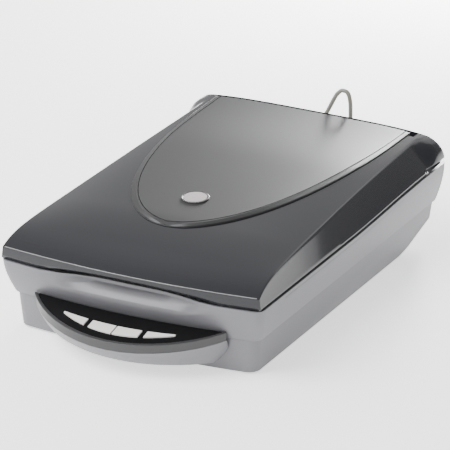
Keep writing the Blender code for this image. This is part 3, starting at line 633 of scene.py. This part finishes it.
def make_rear_painted_shade():
    """Painted shade: a matte black sheet laid just over the lid behind the tongue, so that the lid shows
    dark there without its reflections.
    """
    rows = []
    for y in SHADE_BAND_ROWS_Y:
        places = range(-SHADE_BAND_HALF_WIDTH, SHADE_BAND_HALF_WIDTH + 1, 8)
        rows.append([(x, y, lid_top(x, y) + SHADE_BAND_UP) for x in places])
    add_piece("lid_rear_painted_shade", grid_mesh("lid_rear_painted_shade", rows), "edge_black", (), "lid", smooth=30.0)


def make_tongue():
    """The tongue: a crowned face inside a bevelled border, closed at the rear."""
    rows = []
    for y in tongue_stations():
        half = tongue_half(y)
        inner = max(half - min(BORDER, half * 0.4), 0.0)
        rise = tongue_rise(y) * (0.45 + 0.55 * min((y - NOSE_Y) / BORDER, 1.0))
        edge = [(half, 0.3), (half, rise * 0.4), (half * 0.97 + inner * 0.03, rise * 0.52), (inner, rise)]
        row = [on_tongue(-x, y, up) for x, up in edge]
        for k in range(1, FACE_STEPS):
            x = inner * (2.0 * k / FACE_STEPS - 1.0)
            row.append(on_tongue(x, y, rise))
        row += [on_tongue(x, y, up) for x, up in reversed(edge)]
        rows.append(row)
    last = rows[-1]
    rows.append([(x, y + 0.2, max(z - 0.3, lid_top(x, y) + 0.3)) for x, y, z in last])
    rows.append([(x, y + 0.2, lid_top(x, y) + 0.3) for x, y, z in last])
    mesh = grid_mesh("tongue_skin", rows)
    add_piece("tongue_skin", mesh, "gunmetal_paint", ("tongue_panel",), "lid", smooth=14.0)


def tongue_line(name, nose, side, radius, slot):
    """A dark line down the left side of the tongue, round its nose and up the right side."""
    path = [place(*on_tongue(-x, y, up)) for x, y, up in reversed(side)]
    path.append(place(*on_tongue(*nose)))
    path += [place(*on_tongue(x, y, up)) for x, y, up in side]
    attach(tube(name, path, radius * MM, slot, THIN_SIDES), "lid")


def make_tongue_lines():
    """Painted shade in the groove round the tongue, as a near-black tube along its foot, and the fine line
    where its border meets its face.
    """
    side = [(tongue_half(y), y, 0.2) for y in tongue_stations() if y > NOSE_Y + 0.4]
    # Painted shade: a near-black tube along the tongue's foot, standing for the shadow in its groove.
    tongue_line("tongue_groove_shade", (0.0, NOSE_Y + 0.05, 0.2), side, GROOVE_SHADE_RADIUS, "groove")
    side = []
    for y in tongue_stations():
        if y > NOSE_Y + BORDER:
            half = tongue_half(y - LINE_INSET)
            side.append((half - LINE_INSET, y, tongue_rise(y) - 0.1))
    nose = (0.0, NOSE_Y + LINE_INSET, tongue_rise(NOSE_Y) - 0.1)
    tongue_line("tongue_inner_line", nose, side, INNER_LINE_RADIUS, "edge_black")


# The badge's outlines, as (radius, height) from the rim to the middle.

BADGE_Y = -64.0
BADGE_RADIUS = 12.0
BADGE_STEPS = 64
RING_PROFILE = ((14.3, 0.15), (14.2, 1.0), (13.6, 1.35), (12.8, 1.2), (12.3, 0.7), (0.0, 0.6))
FACE_PROFILE = ((12.0, 0.7), (11.8, 1.15), (8.0, 1.35), (0.0, 1.4))


def make_badge():
    """A round badge with a raised plain ring, left without any mark."""
    middle = lid_top(TONGUE_MIDDLE_X, BADGE_Y) + tongue_rise(BADGE_Y)
    rise = lid_top(0.0, BADGE_Y + BADGE_RADIUS) - lid_top(0.0, BADGE_Y - BADGE_RADIUS)
    turn = Matrix.Rotation(math.atan2(rise, 2.0 * BADGE_RADIUS), 4, "X")
    spot = Matrix.Translation(place(TONGUE_MIDDLE_X, BADGE_Y, middle))
    for name, slot, profile, gone in (
        ("badge_ring", "badge_ring", RING_PROFILE, ("lid_badge",)),
        ("badge_face", "pink_badge", FACE_PROFILE, ()),
    ):
        rows = []
        for r, z in profile:
            ring = []
            for k in range(BADGE_STEPS + 1):
                angle = 2.0 * math.pi * k / BADGE_STEPS
                ring.append((r * math.cos(angle), r * math.sin(angle) - SHIFT_Y, z))
            rows.append(ring)
        mesh = grid_mesh(name, rows)
        mesh.transform(spot @ turn)
        add_piece(name, mesh, slot, gone, "lid", smooth=40.0)


def make_shell_pieces():
    """The outer parts that show, refined from the frame's own solids."""
    widths = {
        "upper_case": 0.7,
        "lower_case": 0.7,
        "chin_shell": 0.4,
        "panel_rim": 0.5,
        "panel_fascia": 0.3,
        "button_copy": 0.35,
        "button_scan": 0.35,
        "button_file": 0.35,
        "button_mail": 0.35,
        "cable_plug": 0.4,
        "hinge_post_left": 0.3,
        "hinge_post_right": 0.3,
    }
    for node, width in widths.items():
        refine(node, width)


SEAM_X = 145.1
SEAM_FRONT_Y = -158.0
SEAM_LENGTH = 325.0
SEAM_DROP = 4.2
SEAM_RADIUS = 0.32
SEAM_STEPS = 39


def make_side_lines():
    """A fine seam under the rim on each side of the case."""
    for side, word in ((-1, "left"), (1, "right")):
        path = []
        for i in range(SEAM_STEPS + 1):
            y = SEAM_FRONT_Y + SEAM_LENGTH * i / SEAM_STEPS
            path.append(place(side * SEAM_X, y, rim_z(y) - SEAM_DROP))
        seam = tube("rim_seam_" + word, path, SEAM_RADIUS * MM, "dark_rim", sides=6)
        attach(seam, "base")


def paint_nodes():
    """Every other CAD part keeps its shape and takes its procedural finish."""
    for node, obj in frame["nodes"].items():
        obj.data.materials.clear()
        obj.data.materials.append(FINISH[SLOT_OF[node]])


# The studio, in metres: lamps as name, place, size and power.

FLOOR_HALF = 30.0
FLOOR_DROP = 0.0002
LAMPS = (
    ("key_light", (-0.9, -1.0, 1.7), 1.4, 62.0),
    ("back_light", (0.3, 2.2, 1.6), 1.2, 5.0),
    ("left_light", (-2.0, 0.2, 0.9), 1.2, 12.0),
    ("sweep_light", (-0.2, 1.22, 0.34), 0.2, 29.0),
)
LAMP_AIM = (0.0, 0.0, 0.06)


def make_floor():
    """A white floor that glows a little, so that it stays paler than the object."""
    mesh = bpy.data.meshes.new("floor")
    corners = [(x * FLOOR_HALF, y * FLOOR_HALF, 0.0) for x, y in ((-1, -1), (1, -1), (1, 1), (-1, 1))]
    mesh.from_pydata(corners, [], [(0, 1, 2, 3)])
    floor = bpy.data.objects.new("floor", mesh)
    floor.location.z = -FLOOR_DROP
    bpy.context.scene.collection.objects.link(floor)
    paper = finish("floor_paper", (0.96, 0.96, 0.96), 0.9, bump=0.0, mottle=0.01, gleam=0.0)
    shader = paper.node_tree.nodes["Principled BSDF"]
    shader.inputs["Emission Color"].default_value = (1.0, 1.0, 1.0, 1.0)
    shader.inputs["Emission Strength"].default_value = 1.2
    mesh.materials.append(paper)


def make_world():
    """White surroundings, bright on the left and dimmer on the right."""
    world = bpy.data.worlds.new("studio")
    bpy.context.scene.world = world
    world.use_nodes = True
    sky = world.node_tree.nodes["Background"]
    sky.inputs["Color"].default_value = (1.0, 1.0, 1.0, 1.0)
    links = world.node_tree.links
    spot = world.node_tree.nodes.new("ShaderNodeTexCoord")
    split = world.node_tree.nodes.new("ShaderNodeSeparateXYZ")
    falloff = world.node_tree.nodes.new("ShaderNodeMapRange")
    falloff.inputs["From Min"].default_value = -1.0
    falloff.inputs["To Min"].default_value = 1.2
    falloff.inputs["To Max"].default_value = 0.3
    links.new(spot.outputs["Generated"], split.inputs["Vector"])
    links.new(split.outputs["X"], falloff.inputs["Value"])
    links.new(falloff.outputs["Result"], sky.inputs["Strength"])


def make_lamps():
    for name, spot, size, power in LAMPS:
        data = bpy.data.lights.new(name, "AREA")
        data.energy = power
        data.size = size
        lamp = bpy.data.objects.new(name, data)
        lamp.location = spot
        aim = Vector(LAMP_AIM) - Vector(spot)
        lamp.rotation_euler = aim.to_track_quat("-Z", "Y").to_euler()
        bpy.context.scene.collection.objects.link(lamp)


make_camera()
make_cable()
make_floor()
make_world()
make_lamps()
paint_nodes()
make_lid()
make_front_edge_highlight()
make_rear_painted_shade()
make_tongue()
make_tongue_lines()
make_badge()
make_shell_pieces()
make_side_lines()
